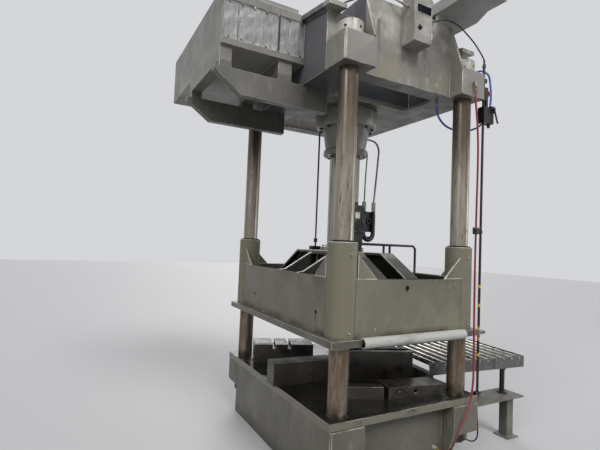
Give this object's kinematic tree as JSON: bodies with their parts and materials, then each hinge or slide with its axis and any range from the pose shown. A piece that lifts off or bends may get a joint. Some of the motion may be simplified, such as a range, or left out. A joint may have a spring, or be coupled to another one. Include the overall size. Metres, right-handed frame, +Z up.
{
  "type": "four-column hydraulic press",
  "caption": "Four-column hydraulic press: welded crown and base on round columns, ram-driven slide, top oil tank, control box, and a roller table at the bed.",
  "frame": {"origin": "centre of the column pattern, on the floor under the base", "axes": "+Z up, the columns' axes; +Y along the press's long side, away from the control box; +X towards the roller table"},
  "size_m": [3.3396, 2.61, 3.95],
  "materials": {
    "press_paint": "worn olive-grey gloss enamel, oil-stained",
    "crown_paint": "olive-grey enamel with dust and runs",
    "bed_steel": "oily dark machined plate",
    "column_steel": "ground bar with brown oil stains",
    "ram_steel": "ground and plated",
    "black_steel": "black, semi-gloss",
    "galvanised_sheet": "mottled zinc",
    "control_box_grey": "light grey powder coat",
    "hose_black": "satin rubber",
    "hose_red": "satin rubber",
    "hose_blue": "satin plastic",
    "knob_red": "glossy",
    "roller_steel": "worn rolled tube",
    "tool_steel": "oily dark steel",
    "guard_grey": "pale grey foam rubber"
  },
  "bodies": {
    "press": {"base_frame": "press_paint", "crown_nut_front_left": "press_paint", "crown_nut_front_right": "press_paint", "crown_nut_rear_left": "press_paint", "crown_nut_rear_right": "press_paint", "gland_ring": "press_paint", "oil_tank": "press_paint", "tank_bracket_front": "press_paint", "tank_bracket_rear": "press_paint", "table_frame": "press_paint", "crown_frame": "crown_paint", "cylinder": "crown_paint", "crown_deck": "crown_paint", "bed_plate": "bed_steel", "side_shelf": "bed_steel", "column_front_left": "column_steel", "column_front_right": "column_steel", "column_rear_left": "column_steel", "column_rear_right": "column_steel", "rod_guide": "black_steel", "supply_pipe": "black_steel", "pilot_pipe": "black_steel", "scale_rod": "black_steel", "scale_clamp_top": "black_steel", "scale_clamp_foot": "black_steel", "valve_body": "black_steel", "table_post": "black_steel", "tank_cover": "galvanised_sheet", "control_box": "control_box_grey", "black_cable": "hose_black", "tail_cable": "hose_black", "red_hose": "hose_red", "blue_hose": "hose_blue", "die_block": "tool_steel", "bored_bar": "tool_steel", "long_block": "tool_steel", "slotted_block": "tool_steel", "short_bar": "tool_steel"},
    "slide": {"slide_frame": "press_paint", "slide_plate": "press_paint", "ram": "ram_steel", "indicator_rod": "black_steel", "slide_rail": "black_steel", "hose_coupling": "black_steel", "edge_guard": "guard_grey"},
    "door": {"control_box_door": "control_box_grey"},
    "latch": {"control_box_latch": "black_steel"},
    "lever": {"valve_lever": "black_steel"},
    "knob": {"valve_knob": "knob_red"},
    "roller_01_body": {"roller_01": "roller_steel"},
    "roller_02_body": {"roller_02": "roller_steel"},
    "roller_03_body": {"roller_03": "roller_steel"},
    "roller_04_body": {"roller_04": "roller_steel"},
    "roller_05_body": {"roller_05": "roller_steel"},
    "roller_06_body": {"roller_06": "roller_steel"},
    "roller_07_body": {"roller_07": "roller_steel"},
    "roller_08_body": {"roller_08": "roller_steel"},
    "roller_09_body": {"roller_09": "roller_steel"},
    "roller_10_body": {"roller_10": "roller_steel"},
    "roller_11_body": {"roller_11": "roller_steel"}
  },
  "joints": [
    {"name": "slide_travel", "type": "slide", "parent": "press", "child": "slide", "axis": [0, 0, 1], "range_m": [-0.22, 0.42]},
    {"name": "door_hinge", "type": "hinge", "parent": "press", "child": "door", "pos_m": [0.078, -1.068, 3.457], "axis": [0, 0, 1], "range_deg": [0, 110]},
    {"name": "latch_turn", "type": "hinge", "parent": "door", "child": "latch", "pos_m": [-0.056, -1.068, 3.571], "axis": [0, 1, 0], "range_deg": [0, 90]},
    {"name": "lever_turn", "type": "hinge", "parent": "press", "child": "lever", "pos_m": [0.885, -1.048, 3.09], "axis": [0, -1, 0], "range_deg": [0, 90]},
    {"name": "knob_turn", "type": "hinge", "parent": "press", "child": "knob", "pos_m": [0.858, -1, 3.245], "axis": [1, 0, 0], "range_deg": [0, 90]},
    {"name": "roller_01_spin", "type": "hinge", "parent": "press", "child": "roller_01_body", "pos_m": [0.66837, -0.32135, 0.735], "axis": [0.117, 0.9931, 0], "continuous": true},
    {"name": "roller_02_spin", "type": "hinge", "parent": "press", "child": "roller_02_body", "pos_m": [0.77265, -0.33364, 0.735], "axis": [0.117, 0.9931, 0], "continuous": true},
    {"name": "roller_03_spin", "type": "hinge", "parent": "press", "child": "roller_03_body", "pos_m": [0.87692, -0.34593, 0.735], "axis": [0.117, 0.9931, 0], "continuous": true},
    {"name": "roller_04_spin", "type": "hinge", "parent": "press", "child": "roller_04_body", "pos_m": [0.9812, -0.35821, 0.735], "axis": [0.117, 0.9931, 0], "continuous": true},
    {"name": "roller_05_spin", "type": "hinge", "parent": "press", "child": "roller_05_body", "pos_m": [1.08548, -0.3705, 0.735], "axis": [0.117, 0.9931, 0], "continuous": true},
    {"name": "roller_06_spin", "type": "hinge", "parent": "press", "child": "roller_06_body", "pos_m": [1.18976, -0.38279, 0.735], "axis": [0.117, 0.9931, 0], "continuous": true},
    {"name": "roller_07_spin", "type": "hinge", "parent": "press", "child": "roller_07_body", "pos_m": [1.29404, -0.39507, 0.735], "axis": [0.117, 0.9931, 0], "continuous": true},
    {"name": "roller_08_spin", "type": "hinge", "parent": "press", "child": "roller_08_body", "pos_m": [1.39832, -0.40736, 0.735], "axis": [0.117, 0.9931, 0], "continuous": true},
    {"name": "roller_09_spin", "type": "hinge", "parent": "press", "child": "roller_09_body", "pos_m": [1.50259, -0.41965, 0.735], "axis": [0.117, 0.9931, 0], "continuous": true},
    {"name": "roller_10_spin", "type": "hinge", "parent": "press", "child": "roller_10_body", "pos_m": [1.60687, -0.43193, 0.735], "axis": [0.117, 0.9931, 0], "continuous": true},
    {"name": "roller_11_spin", "type": "hinge", "parent": "press", "child": "roller_11_body", "pos_m": [1.71115, -0.44422, 0.735], "axis": [0.117, 0.9931, 0], "continuous": true}
  ]
}
